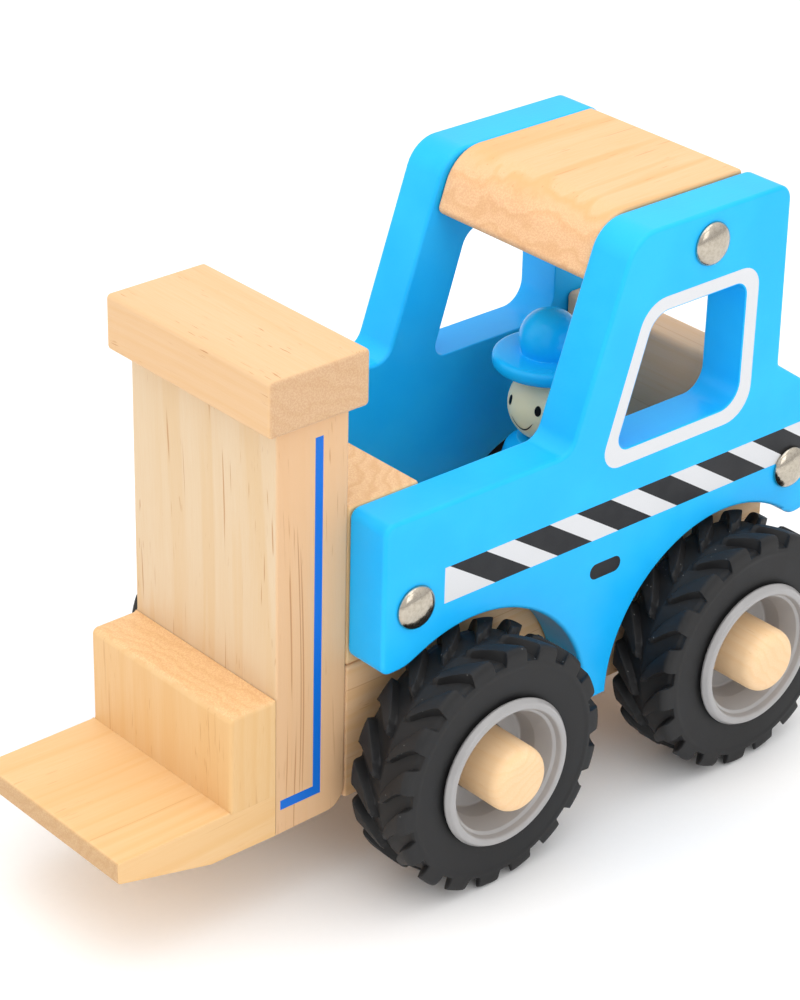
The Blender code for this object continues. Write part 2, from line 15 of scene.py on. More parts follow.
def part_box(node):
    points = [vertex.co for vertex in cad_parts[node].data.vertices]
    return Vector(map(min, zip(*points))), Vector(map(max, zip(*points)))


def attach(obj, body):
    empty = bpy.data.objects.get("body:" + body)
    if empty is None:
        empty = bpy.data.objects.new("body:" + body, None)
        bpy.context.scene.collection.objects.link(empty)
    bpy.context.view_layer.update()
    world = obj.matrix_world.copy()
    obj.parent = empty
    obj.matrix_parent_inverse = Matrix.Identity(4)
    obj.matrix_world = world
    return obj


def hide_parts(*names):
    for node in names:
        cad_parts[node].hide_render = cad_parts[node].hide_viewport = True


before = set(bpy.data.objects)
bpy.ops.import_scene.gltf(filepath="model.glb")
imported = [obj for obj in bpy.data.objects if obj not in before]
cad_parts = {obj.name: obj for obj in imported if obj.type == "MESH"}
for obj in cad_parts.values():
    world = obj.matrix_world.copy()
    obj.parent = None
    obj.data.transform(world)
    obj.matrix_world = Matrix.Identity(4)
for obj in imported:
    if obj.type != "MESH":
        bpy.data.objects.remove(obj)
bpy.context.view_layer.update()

MM = 0.001
SIDES = {"left": 1, "right": -1}
CORNER_STEPS = 8
EDGE_STEPS = 5
MITRE_LEAST = 0.3  # keeps sharp corners from moving too far

# Camera: its angles in degrees, its distance from the point it looks at, and its lens
CAMERA_AZIMUTH = 48.4
CAMERA_ELEVATION = 28.2
CAMERA_ROLL = 1.36
CAMERA_DISTANCE = 679.8
CAMERA_AIM = Vector((20.8, -18.9, 89.6))
CAMERA_LENS = 110.9

# Side panels and their printed markings, in (Y, Z)
PILLAR_LEAN = 0.35
CAB_REAR_Y = 84.2
DECK_START = (85.0, 97.6)
DECK_SLOPE = -0.70
ARCH_RADIUS = 36.4
ARCH_Z = 27.5
FRONT_ARCH_Y = -10.6
REAR_ARCH_Y = 69.4
FRONT_LOBE = 58.4
REAR_LOBE = 54.7
PANEL_EDGE = 1.0
WINDOW_EDGE = 0.35
WINDOW_BOTTOM = 91.8
WINDOW_TOP = 123.1
WINDOW_REAR = 71.2
WINDOW_FOOT = 31.2
WINDOW_LEAN = 0.33
WINDOW_RADII = (3.0, 6.0, 3.5, 6.0)  # low front, low rear, top rear, top front
BORDER_WIDTH = 3.6
BORDER_LOW_SHARE = 1.15  # the border is this much wider under the window and behind it
BORDER_RADIUS_SHARES = (0.5, 0.6, 0.6, 0.6)
PILLAR_FOOT = 17.1
FRONT_LEAVE = 114  # degrees round the arches where the outline leaves them
REAR_LEAVE = 50
BAND_BOTTOM = 70.9
BAND_TOP = 79.9
BAND_FRONT = -19.8
BAND_REAR = 98.6
STRIPE_START = 1.4
STRIPE_PERIOD = 19.2
STRIPE_WIDTH = 10.8
STRIPE_SHIFT = 13.8
HANDLE_CENTRE = (30.2, 62.3)
HANDLE_SIZE = (9.8, 4.0)

# Wood
WOOD_EDGE = 0.8
POST_EDGE = 0.6
CAP_EDGE = 1.0
CARRIAGE_EDGE = 1.0
PLATE_EDGE = 0.35
BORE_GAP = 0.3
GROOVE_TOP = 88.0
GROOVE_DEPTH = 6.3
GROOVE_NECK = 6.3
GROOVE_TAIL = 9.3
GROOVE_BELOW = 5.0
FORK_TIP_THICK = 5.4
FORK_RAMP_Y = -75.7
HOUSING_DEPTH = 0.5
HAIRLINE = 0.15
SKIN_GAP = 0.02  # between faces that would coincide
NEAR = 0.01  # how near a point counts as on a seam

# The blue line on the mast's side, from the post's front, top and bottom
LINE_FRONT = 10.5
LINE_WIDTH = 2.2
LINE_DROP = 4.7
FOOT_FRONT = 1.2
FOOT_BOTTOM = 6.2
FOOT_HEIGHT = 2.5

# Tyres and rims
LUGS = 18
LUG_HALF = 5.8  # degrees round the axle, at the shoulder
LUG_TIP_HALF = 2.2
LUG_FLANK = 1.0
LUG_SLOPE = 1.9
LUG_LEAN = 18.0
LUG_END = 0.12  # share of half the width where a lug's tip ends
LUG_END_RAMP = 0.07
MIDDLE_ZONE = 0.15
TREAD_RADIUS = 30.5
VALLEY_SHOULDER = 27.3
VALLEY_MIDDLE = 29.0
TYRE_SHARP = 60  # degrees between faces that show as an edge
RIM_BORE_GAP = 0.15
RIM_DISH_X = 42.0  # the dish's floor, from the middle
RIM_SEAT_X = 32.5  # the inner end of the tyre's seat
RIM_SEAT_RADIUS = 16.5
AXLE_END_ROUND = 3.7

# Nails and driver
NAIL_SHANK = 1.3
NAIL_POINT = 3.0
NAIL_RIM = 0.25
NAIL_STEPS = 12
SPIGOT_RADIUS = 5.0
HEAD_MIDDLE = 8.5
HEAD_ROWS = 28
BRIM_THICK = 3.6
HAT_DOME = 7.4
HAT_ROWS = 24
PRINT_FILM = 0.06
PRINT_THICK = 0.08

# Driver's face, in degrees on the head
FACE_TURN = 5.0
EYE_TURN = 28.0
EYE_RISE = 11.5
EYE_HALF = (5.0, 8.0)
SMILE_RISE = -27.0
SMILE_HALF = 21.0
SMILE_CURVE = 17.0
SMILE_WIDTH = 1.5
EYE_STEPS = 28
SMILE_STEPS = 30

# Studio, in metres
FLOOR_REACH = 4.0
LIGHT_TARGET = (0.0, 0.02, 0.07)
WORLD_STRENGTH = 1.18


# ---- outlines


def node_box(node):
    """A CAD node's lowest and highest corners, in millimetres."""
    low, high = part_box(node)
    return low / MM, high / MM


def round_place(node):
    """The (Y, Z) centre and the radius of a node that is round about X."""
    low, high = node_box(node)
    centre = (low + high) / 2
    return (centre.y, centre.z), (high.z - low.z) / 2


def arc(centre, radius, first, last, steps):
    """Points on a circle's arc between two angles, both ends included."""
    points = []
    for step in range(steps + 1):
        angle = first + (last - first) * step / steps
        a = centre[0] + radius * math.cos(angle)
        b = centre[1] + radius * math.sin(angle)
        points.append(Vector((a, b)))
    return points


def rounded(corners):
    """Points of a closed outline through corners of (a, b, radius), each turned by an arc of its radius."""
    points = []
    for index, (a, b, radius) in enumerate(corners):
        corner = Vector((a, b))
        if radius == 0:
            points.append(corner)
            continue
        before = (Vector(corners[index - 1][:2]) - corner).normalized()
        after = (Vector(corners[(index + 1) % len(corners)][:2]) - corner).normalized()
        half = before.angle(after) / 2
        centre = corner + (before + after).normalized() * (radius / math.sin(half))
        start = corner + before * (radius / math.tan(half)) - centre
        end = corner + after * (radius / math.tan(half)) - centre
        first = math.atan2(start.y, start.x)
        turn = (math.atan2(end.y, end.x) - first + math.pi) % (2 * math.pi) - math.pi
        points += arc(centre, radius, first, first + turn, CORNER_STEPS)
    return points


def rectangle(low, high, radius=0.0):
    """A rectangle's outline with rounded corners."""
    corners = [(low[0], low[1]), (high[0], low[1]), (high[0], high[1]), (low[0], high[1])]
    return rounded([(a, b, radius) for a, b in corners])


def anticlockwise(outline, wanted=True):
    """The outline in the wanted direction round its inside."""
    pairs = zip(outline, outline[1:] + outline[:1])
    area = sum(first.x * second.y - second.x * first.y for first, second in pairs)
    return outline if (area > 0) == wanted else outline[::-1]


def moved_left(outline, distance):
    """The outline moved to the left of its direction along its mitres."""
    moved = []
    for index, point in enumerate(outline):
        before = (point - outline[index - 1]).normalized()
        after = (outline[(index + 1) % len(outline)] - point).normalized()
        mitre = Vector((-before.y - after.y, before.x + after.x)).normalized()
        share = max(MITRE_LEAST, mitre.dot(Vector((-after.y, after.x))))
        moved.append(point + mitre * (distance / share))
    return moved


# ---- meshes


def bridge(shape, first, second):
    """Faces between two closed rings with as many points."""
    for step in range(len(first)):
        following = (step + 1) % len(first)
        shape.faces.new((first[step], first[following], second[following], second[step]))


def slab(outline, low, high, edge, holes=(), prints=(), crisp=None):
    """A bmesh slab along X between two levels, with quarter-round edges.

    outline and holes are (Y, Z) outlines. prints holds (side, outline, material number) areas on its ends.
    Where crisp says so of a point, the slab's edge stays sharp, as at a flush seam.
    """
    shape = bmesh.new()
    quarter = [math.pi / 2 * step / EDGE_STEPS for step in range(EDGE_STEPS + 1)]
    loops = [(anticlockwise(outline), edge)]
    loops += [(anticlockwise(hole, False), WINDOW_EDGE) for hole in holes]
    ends = {-1: [], 1: []}
    for loop, size in loops:
        round_over = [(size * (1 - math.sin(turn)), size * (1 - math.cos(turn))) for turn in quarter]
        rows = [(low + depth, inset) for depth, inset in reversed(round_over)]
        rows += [(high - depth, inset) for depth, inset in round_over]
        rings = []
        for x, inset in rows:
            moved = moved_left(loop, inset)
            points = [own if crisp and crisp(own) else inner for own, inner in zip(loop, moved)]
            rings.append([shape.verts.new((x, *point)) for point in points])
        for first, second in zip(rings, rings[1:]):
            bridge(shape, first, second)
        ends[-1].append(rings[0])
        ends[1].append(rings[-1])
    for side, x in ((-1, low), (1, high)):
        here = [(area, number) for which, area, number in prints if which == side]
        add_end(shape, ends[side], x, here)
    return shape


def add_end(shape, rims, x, prints):
    """Closes a slab's end between its rims, the outer one first. Each print takes its material number."""
    points = []
    areas = []
    numbers = []
    verts = {}
    for order, rim in enumerate(rims):
        areas.append(list(range(len(points), len(points) + len(rim))))
        numbers.append(0 if order == 0 else None)
        for vert in rim if order == 0 else reversed(rim):
            verts[len(points)] = vert
            points.append(vert.co.yz)
    for area, number in prints:
        areas.append(list(range(len(points), len(points) + len(area))))
        numbers.append(number)
        points += anticlockwise(area)
    whole_hull, near = 0, 1e-4
    found, _, triangles, origins, _, owners = delaunay_2d_cdt(points, [], areas, whole_hull, near, True)
    corners = []
    for place, sources in zip(found, origins):
        own = [verts[source] for source in sources if source in verts]
        corners.append(own[0] if own else shape.verts.new((x, *place)))
    for triangle, owned in zip(triangles, owners):
        marks = [numbers[owner] for owner in owned]
        if 0 not in marks or None in marks:
            continue
        face = shape.faces.new([corners[index] for index in triangle])
        face.material_index = max(marks)


def turned(profile, segments=96, axis="X", centre=(0.0, 0.0), mirror=1):
    """A bmesh turned solid. The profile's points are (along, radius); a radius of 0 closes the end."""
    shape = bmesh.new()
    rings = []
    for along, radius in profile:
        ring = []
        for step in range(segments if radius > 0 else 1):
            angle = 2 * math.pi * step / segments
            a = centre[0] + radius * math.cos(angle)
            b = centre[1] + radius * math.sin(angle)
            ring.append(shape.verts.new((mirror * along, a, b) if axis == "X" else (a, b, along)))
        rings.append(ring)
    pairs = list(zip(rings, rings[1:]))
    if profile[0][1] > 0 and profile[-1][1] > 0:
        pairs.append((rings[-1], rings[0]))
    for first, second in pairs:
        for step in range(segments):
            corners = [first[step % len(first)], first[(step + 1) % len(first)]]
            corners += [second[(step + 1) % len(second)], second[step % len(second)]]
            shape.faces.new(list(dict.fromkeys(corners)))
    return shape


def round_corners(profile, steps=5):
    """An open (along, radius) profile whose points may carry a rounding as their third number."""
    points = []
    for index, point in enumerate(profile):
        if len(point) < 3:
            points.append(Vector(point[:2]))
            continue
        corner = Vector(point[:2])
        before = (Vector(profile[index - 1][:2]) - corner).normalized()
        after = (Vector(profile[index + 1][:2]) - corner).normalized()
        half = before.angle(after) / 2
        reach = point[2] / math.tan(half)
        for step in range(steps + 1):
            share = step / steps
            start = corner + before * reach * (1 - share)
            end = corner + after * reach * share
            points.append(start.lerp(end, share))
    return [tuple(point) for point in points]


def in_scene(name, data):
    """A new object in the scene."""
    item = bpy.data.objects.new(name, data)
    bpy.context.scene.collection.objects.link(item)
    return item


def solid(name, shape):
    """A new object in the scene from a bmesh, with its faces turned outwards."""
    bmesh.ops.recalc_face_normals(shape, faces=shape.faces)
    mesh = bpy.data.meshes.new(name)
    shape.to_mesh(mesh)
    shape.free()
    return in_scene(name, mesh)


def new_piece(name, shape, looks, body, nodes, sharp=40):
    """A new piece from a bmesh in millimetres, with smooth rounds and flat flats, riding on its body."""
    bmesh.ops.scale(shape, verts=shape.verts, vec=(MM, MM, MM))
    piece = solid(name, shape)
    for look in looks:
        piece.data.materials.append(look)
    piece.data.shade_smooth()
    piece.data.set_sharp_from_angle(angle=math.radians(sharp))
    weighted = piece.modifiers.new("flat_faces", "WEIGHTED_NORMAL")
    weighted.keep_sharp = True
    weighted.weight = 90
    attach(piece, body)
    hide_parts(*nodes)
    return piece


def cut(piece, outline, low, high):
    """Cuts an (X, Y) outline, pushed along Z, out of a piece, ahead of its normals."""
    shape = bmesh.new()
    bottom = [shape.verts.new((a * MM, b * MM, low * MM)) for a, b in outline]
    top = [shape.verts.new((a * MM, b * MM, high * MM)) for a, b in outline]
    bridge(shape, bottom, top)
    shape.faces.new(bottom)
    shape.faces.new(top)
    cutter = solid(piece.name + "_cutter", shape)
    boolean = piece.modifiers.new("cut", "BOOLEAN")
    boolean.solver = "EXACT"
    boolean.operation = "DIFFERENCE"
    boolean.object = cutter
    piece.modifiers.move(len(piece.modifiers) - 1, 0)
    bpy.context.view_layer.update()
    final = piece.evaluated_get(bpy.context.evaluated_depsgraph_get())
    piece.data = bpy.data.meshes.new_from_object(final)
    piece.modifiers.clear()
    bpy.data.objects.remove(cutter, do_unlink=True)


# ---- materials


class Look:
    """A material and short ways to add nodes to it."""

    def __init__(self, name):
        self.material = bpy.data.materials.new(name)
        self.material.use_nodes = True
        self.tree = self.material.node_tree
        self.shader = self.tree.nodes["Principled BSDF"]
        self.place = self.add("ShaderNodeTexCoord")

    def add(self, kind, values=None, **settings):
        """A new node; values go to its inputs by name or number, and link where they are sockets."""
        node = self.tree.nodes.new(kind)
        for key, setting in settings.items():
            setattr(node, key, setting)
        for key, value in (values or {}).items():
            self.give(node.inputs[key], value)
        return node

    def give(self, socket, value):
        """Links a socket into this one, or sets its value."""
        if isinstance(value, bpy.types.NodeSocket):
            self.tree.links.new(value, socket)
        else:
            socket.default_value = value

    def set(self, **values):
        """Sets or links the shader's inputs; an underscore in a name stands for a space."""
        for key, value in values.items():
            self.give(self.shader.inputs[key.replace("_", " ")], value)

    def maths(self, operation, first, second=0.0):
        return self.add("ShaderNodeMath", {0: first, 1: second}, operation=operation).outputs[0]

    def vector(self, operation, first, second=(0.0, 0.0, 0.0)):
        node = self.add("ShaderNodeVectorMath", {0: first, 1: second}, operation=operation)
        scalar = operation in ("LENGTH", "DOT_PRODUCT")
        return node.outputs["Value" if scalar else "Vector"]

    def mapped(self, source, scale, turn=(0.0, 0.0, 0.0), shift=(0.0, 0.0, 0.0)):
        values = {"Vector": source, "Scale": scale, "Rotation": turn, "Location": shift}
        return self.add("ShaderNodeMapping", values).outputs[0]

    def in_mm(self, turn=(0.0, 0.0, 0.0), shift=(0.0, 0.0, 0.0)):
        """The place on the object in millimetres, turned and shifted."""
        return self.mapped(self.place.outputs["Object"], (1 / MM,) * 3, turn, shift)

    def noise(self, vector, scale=1.0, detail=2.0, roughness=0.5, output="Fac"):
        values = {"Vector": vector, "Scale": scale, "Detail": detail, "Roughness": roughness}
        return self.add("ShaderNodeTexNoise", values).outputs[output]

    def ramp(self, value, stops, smooth=False):
        """A colour ramp through stops of (place, grey value or colour)."""
        node = self.add("ShaderNodeValToRGB", {0: value})
        band = node.color_ramp
        band.interpolation = "EASE" if smooth else "LINEAR"
        while len(band.elements) < len(stops):
            band.elements.new(0.5)
        for element, (place, colour) in zip(band.elements, stops):
            element.position = place
            level = colour if isinstance(colour, tuple) else (colour,) * 3
            element.color = (*level, 1.0)
        return node.outputs[0]

    def remap(self, value, low, high, new_low=0.0, new_high=1.0):
        """The value's place between low and high, eased, between two new values."""
        values = {0: value, 1: low, 2: high, 3: new_low, 4: new_high}
        return self.add("ShaderNodeMapRange", values, interpolation_type="SMOOTHSTEP").outputs[0]

    def mix(self, factor, first, second, blend="MIX"):
        node = self.add("ShaderNodeMix", data_type="RGBA", blend_type=blend)
        sockets = (node.inputs[0], node.inputs[6], node.inputs[7])
        for socket, value in zip(sockets, (factor, first, second)):
            if isinstance(value, tuple):
                value = (*value[:3], 1.0)
            self.give(socket, value)
        return node.outputs[2]

    def bump(self, height, distance, strength=1.0):
        """Adds a bump, in millimetres, on top of what the normal already carries."""
        values = {"Height": height, "Distance": distance * MM, "Strength": strength}
        node = self.add("ShaderNodeBump", values)
        socket = self.shader.inputs["Normal"]
        if socket.is_linked:
            self.give(node.inputs["Normal"], socket.links[0].from_socket)
        self.give(socket, node.outputs[0])


GRAIN_TURNS = {"X": (0.0, -math.pi / 2, 0.0), "Y": (math.pi / 2, 0.0, 0.0), "Z": (0.0, 0.0, 0.0)}
GRAIN_WAYS = {"X": (1.0, 0.0, 0.0), "Y": (0.0, 1.0, 0.0), "Z": (0.0, 0.0, 1.0)}
SEED_STEP = 417.0  # mm along the grain between two pieces' places in the same wood


def wood_space(look, grain, pith, seed):
    """The place in the wood, in mm: across the grain from a slightly wandering pith line, and along it."""
    shift = (-pith[0], -pith[1], seed * SEED_STEP)
    wood = look.in_mm(GRAIN_TURNS[grain], shift)
    drift = look.noise(look.mapped(wood, (0.022, 0.022, 0.006)), detail=1.0, output="Color")
    drift = look.vector("SUBTRACT", drift, (0.5, 0.5, 0.5))
    return look.vector("ADD", wood, look.vector("MULTIPLY", drift, (14.0, 14.0, 0.0)))


def late_wood(look, wood, spacing):
    """The dark part of each year's ring, for rings this far apart on average."""
    across = look.vector("LENGTH", look.vector("MULTIPLY", wood, (1.0, 1.0, 0.0)))
    uneven = look.noise(look.mapped(wood, (0.12, 0.12, 0.004)), detail=2.0)
    years = look.maths("DIVIDE", across, spacing)
    ring = look.maths("FRACT", look.maths("ADD", years, look.maths("MULTIPLY", uneven, 3.0)))
    return look.ramp(ring, [(0.0, 0.55), (0.08, 0.0), (0.45, 0.12), (0.88, 1.0), (1.0, 0.55)], True)


def resin_marks(look, wood, streaks, dashes):
    """Long thin brown streaks and short dashes along the grain, each at this strength."""
    streak = look.noise(look.mapped(wood, (1.5, 1.5, 0.005)), detail=1.0, roughness=0.4)
    streak = look.maths("MULTIPLY", look.remap(streak, 0.705, 0.77), streaks)
    dash = look.noise(look.mapped(wood, (2.3, 2.3, 0.15), shift=(31.0, 17.0, 5.0)), detail=1.0)
    sparse = look.noise(look.mapped(wood, (0.16, 0.16, 0.05), shift=(7.0, 3.0, 11.0)), detail=1.0)
    dash = look.maths("MULTIPLY", look.remap(dash, 0.67, 0.73), look.remap(sparse, 0.53, 0.64))
    return look.maths("MAXIMUM", streak, look.maths("MULTIPLY", dash, dashes))


def pine(name, grain, pith, seed, tone, spacing, marks, rings, grit=0.9, ends=(0.16, 1.0), side_shade=0.0):
    """Pale planed pine, with its rings round a pith line along the grain, this far from the origin in mm.

    marks: the strengths of its streaks and dashes. rings: of its rings. grit: of its end grain. ends: how
    strongly rings show in the end grain, and its lightness. The last argument paints shade on the X sides:
    how much darker and more orange they are drawn, as if they got less light.
    """
    look = Look(name)
    wood = wood_space(look, grain, pith, seed)
    late = late_wood(look, wood, spacing)
    fibres = look.noise(look.mapped(wood, (3.2, 3.2, 0.07)), detail=4.0, roughness=0.62)
    broad = look.noise(look.mapped(wood, (0.09, 0.09, 0.007)), detail=2.0)
    pores = look.noise(look.mapped(wood, (2.6, 2.6, 0.4)), detail=3.0, roughness=0.7)
    brown_marks = resin_marks(look, wood, *marks)
    normal = look.place.outputs["Normal"]
    facing_end = look.maths("ABSOLUTE", look.vector("DOT_PRODUCT", normal, GRAIN_WAYS[grain]))
    end = look.remap(facing_end, 0.45, 0.95)

    red, green, blue = tone
    pale = (min(1.0, red * 1.02), green * 1.05, blue * 1.10)
    warm = (red * 0.97, green * 0.90, blue * 0.78)
    brown = (red * 0.66, green * 0.42, blue * 0.27)
    pink = (red * 0.92, green * 0.84, blue * 0.88)
    ringed = (red * 0.75, green * 0.58, blue * 0.46)
    # Painted shade: the colour of the X sides, darker and more orange as if they got less light.
    shaded_side_tone = (red * 1.02, green * 0.82, blue * 0.68)

    colour = look.mix(look.remap(broad, 0.3, 0.7), pale, tone)
    colour = look.mix(look.maths("MULTIPLY", late, rings), colour, warm)
    colour = look.mix(look.remap(fibres, 0.35, 0.75, 0.0, 0.35), colour, warm)
    # Painted shade on faces that look along X, by how squarely they face it.
    sideways = look.maths("ABSOLUTE", look.vector("DOT_PRODUCT", normal, (1.0, 0.0, 0.0)))
    colour = look.mix(look.maths("MULTIPLY", sideways, side_shade), colour, shaded_side_tone)
    end_colour = look.mix(look.remap(pores, 0.44, 0.58), pink, pale)
    end_colour = look.mix(look.maths("MULTIPLY", late, ends[0]), end_colour, ringed)
    end_colour = look.mix(1.0, end_colour, (ends[1],) * 3, "MULTIPLY")
    colour = look.mix(look.maths("MULTIPLY", end, grit), colour, end_colour)
    colour = look.mix(look.maths("MULTIPLY", brown_marks, look.maths("SUBTRACT", 1.0, end)), colour, brown)

    look.set(Base_Color=colour, Roughness=look.remap(fibres, 0.3, 0.7, 0.46, 0.60), Specular_IOR_Level=0.20)
    look.set(Coat_Weight=0.04, Coat_Roughness=0.35)
    look.bump(fibres, 0.05, 0.5)
    look.bump(pores, 0.04, 0.35)
    look.bump(brown_marks, -0.06, 0.5)
    return look.material


def paint(name, tone, roughness=0.34, grain=0.6):
    """Satin lacquer on sanded wood: faint grain telegraphs through, and the film is a little uneven."""
    look = Look(name)
    place = look.in_mm()
    cloudy = look.noise(place, 0.045, 3.0, 0.55)
    fibres = look.noise(look.mapped(place, (1.5, 0.10, 1.5)), detail=3.0, roughness=0.6)
    peel = look.noise(place, 1.3, 2.0, 0.5)
    specks = look.noise(place, 5.0, 1.0, 0.5)
    red, green, blue = tone
    lighter = (red + 0.006, min(1.0, green * 1.05), min(1.0, blue * 1.02))
    darker = (red * 0.8, green * 0.95, blue * 0.98)
    colour = look.mix(look.remap(cloudy, 0.3, 0.7), darker, lighter)
    colour = look.mix(look.remap(fibres, 0.4, 0.8, 0.0, 0.25 * grain), colour, darker)
    look.set(Base_Color=colour, Roughness=look.remap(cloudy, 0.3, 0.7, roughness - 0.05, roughness + 0.06))
    look.set(Specular_IOR_Level=0.16, Coat_Weight=0.10, Coat_Roughness=0.25)
    look.bump(peel, 0.035, 0.6)
    look.bump(fibres, 0.04, 0.8 * grain)
    look.bump(specks, 0.01, 0.5)
    return look.material


def ink(name, tone, roughness=0.38):
    """Printed ink on the paint, a little thin in places."""
    look = Look(name)
    place = look.in_mm()
    thin = look.noise(place, 2.6, 3.0, 0.7)
    cloudy = look.noise(place, 0.25, 2.0, 0.5)
    paler = tuple(min(1.0, level * 0.95 + 0.006) for level in tone)
    colour = look.mix(look.remap(thin, 0.45, 0.75, 0.0, 0.8), tone, paler)
    look.set(Base_Color=colour, Roughness=look.remap(cloudy, 0.3, 0.7, roughness - 0.05, roughness + 0.08))
    look.set(Specular_IOR_Level=0.25, Coat_Weight=0.05, Coat_Roughness=0.25)
    look.bump(thin, 0.012, 0.6)
    return look.material


def rubber(name):
    """Moulded black rubber with a fine matt skin, faint flow marks and specks of white dust."""
    look = Look(name)
    place = look.in_mm()
    cloudy = look.noise(place, 0.14, 4.0, 0.6)
    skin = look.noise(place, 4.0, 3.0, 0.6)
    fleck = look.add("ShaderNodeTexVoronoi", {"Vector": place, "Scale": 0.85, "Randomness": 1.0})
    lone = look.maths("LESS_THAN", look.vector("DOT_PRODUCT", fleck.outputs["Color"], (1.0, 0.0, 0.0)), 0.10)
    small = look.remap(fleck.outputs["Distance"], 0.10, 0.20, 1.0, 0.0)
    from_axle = look.vector("SUBTRACT", look.place.outputs["Generated"], (0.5, 0.5, 0.5))
    from_axle = look.vector("LENGTH", look.vector("MULTIPLY", from_axle, (0.0, 1.0, 1.0)))
    patchy = look.maths("MAXIMUM", look.remap(from_axle, 0.33, 0.40, 1.0, 0.0), 0.25)
    patchy = look.maths("MULTIPLY", patchy, look.remap(look.noise(place, 0.16, 1.0, 0.5), 0.42, 0.56))
    dust = look.maths("MULTIPLY", look.maths("MULTIPLY", small, lone), patchy)
    fine = look.remap(look.noise(place, 3.1, 2.0, 0.6), 0.70, 0.76)
    dust = look.maths("MAXIMUM", dust, look.maths("MULTIPLY", look.maths("MULTIPLY", fine, patchy), 0.12))
    colour = look.mix(look.remap(cloudy, 0.3, 0.7), (0.0100, 0.0100, 0.0108), (0.0180, 0.0176, 0.0176))
    colour = look.mix(look.maths("MULTIPLY", dust, 0.9), colour, (0.55, 0.55, 0.53))
    look.set(Base_Color=colour, Roughness=look.remap(cloudy, 0.3, 0.7, 0.50, 0.64))
    look.set(Specular_IOR_Level=0.30)
    look.bump(skin, 0.03, 0.5)
    look.bump(cloudy, 0.10, 0.5)
    return look.material


def plastic(name):
    """Glossy light grey injection-moulded plastic with faint swirl marks and dust."""
    look = Look(name)
    place = look.in_mm()
    cloudy = look.noise(place, 0.20, 3.0, 0.5)
    scuff = look.noise(place, 1.4, 4.0, 0.7)
    colour = look.mix(look.remap(cloudy, 0.3, 0.7), (0.335, 0.325, 0.322), (0.350, 0.340, 0.337))
    colour = look.mix(look.remap(scuff, 0.70, 0.80, 0.0, 0.25), colour, (0.60, 0.60, 0.59))
    look.set(Base_Color=colour, Roughness=look.remap(cloudy, 0.3, 0.7, 0.28, 0.31))
    look.set(Specular_IOR_Level=0.45, Coat_Weight=0.35, Coat_Roughness=0.05)
    look.bump(cloudy, 0.01, 0.5)
    look.bump(scuff, 0.006, 0.4)
    return look.material


def nickel(name):
    """Pressed nickel-plated steel with small dents and a dulled film."""
    look = Look(name)
    place = look.in_mm()
    dents = look.noise(place, 0.22, 1.0, 0.4)
    film = look.noise(place, 1.2, 4.0, 0.6)
    colour = look.mix(look.remap(film, 0.35, 0.7), (0.52, 0.47, 0.39), (0.43, 0.38, 0.31))
    look.set(Base_Color=colour, Metallic=1.0, Roughness=look.remap(film, 0.3, 0.7, 0.12, 0.22))
    look.bump(dents, 0.25, 0.5)
    look.bump(film, 0.006, 0.5)
    return look.material


def pine_looks():
    """Each pine piece has its own grain direction, pith place, seed, tone, ring spacing and marks."""
    rows = {
        "cap": ("X", (60.0, -90.0), 1, (0.74, 0.485, 0.265), 4.0, (0.1, 0.8), 0.35),
        "post": ("Z", (-30.0, -160.0), 2, (0.71, 0.54, 0.35), 5.2, (0.75, 0.6), 0.75),
        "carriage": ("Z", (14.0, -150.0), 3, (0.76, 0.495, 0.24), 3.4, (0.3, 0.5), 0.5),
        "plate": ("Y", (-40.0, -70.0), 4, (0.78, 0.505, 0.245), 3.6, (0.3, 0.35), 0.6),
        "roof": ("Y", (30.0, 210.0), 5, (0.78, 0.49, 0.255), 5.5, (0.4, 0.4), 1.0),
        "hood": ("Z", (-25.0, -60.0), 6, (0.82, 0.54, 0.28), 2.6, (0.3, 0.2), 0.6),
        "rear": ("X", (40.0, 150.0), 7, (0.76, 0.52, 0.33), 3.0, (0.3, 0.2), 0.5),
        "beam": ("Y", (18.0, -40.0), 8, (0.83, 0.53, 0.29), 3.4, (0.5, 0.5), 0.7),
        "dowel": ("X", (4.0, 3.0), 9, (0.87, 0.60, 0.345), 2.6, (0.15, 0.25), 0.4),
        "peg": ("Z", (3.0, 3.0), 10, (0.84, 0.55, 0.30), 2.6, (0.3, 0.2), 0.5),
    }
    special = {
        "cap": {"ends": (0.16, 0.86)},
        # The post's X sides get painted shade.
        "post": {"side_shade": 0.85},
        "carriage": {"ends": (0.25, 1.14)},
        "plate": {"ends": (0.25, 0.76)},
        "roof": {"ends": (0.30, 1.12)},
        "hood": {"ends": (0.40, 1.0)},
        "dowel": {"grit": 0.25},
    }
    return {name: pine("pine_" + name, *row, **special.get(name, {})) for name, row in rows.items()}


def make_looks():
    """Every material by name."""
    return {
        "blue": paint("blue_paint", (0.012, 0.485, 1.0)),
        "hat_blue": paint("hat_paint", (0.004, 0.47, 0.98), 0.22, 0.2),
        "skin": paint("skin_paint", (0.95, 0.84, 0.58), 0.4, 0.4),
        "white_ink": ink("white_ink", (0.68, 0.69, 0.71)),
        "black_ink": ink("black_ink", (0.008, 0.009, 0.012)),
        "line_ink": ink("blue_ink", (0.001, 0.145, 0.62), 0.45),
        "rubber": rubber("black_rubber"),
        "plastic": plastic("grey_plastic"),
        "nickel": nickel("nickel"),
        **pine_looks(),
    }


# ---- panels


def deck_height(y):
    """Height of the rear deck, which slopes down behind the cab."""
    return DECK_START[1] + DECK_SLOPE * (y - DECK_START[0])


def arch_corner(arch_y, leave, level):
    """Y of the point at this level on the arch's tangent at the angle where the outline leaves the arch."""
    drop = (ARCH_Z + ARCH_RADIUS * math.sin(leave) - level) / abs(math.cos(leave))
    return arch_y + ARCH_RADIUS * math.cos(leave) + math.copysign(drop, math.cos(leave)) * math.sin(leave)


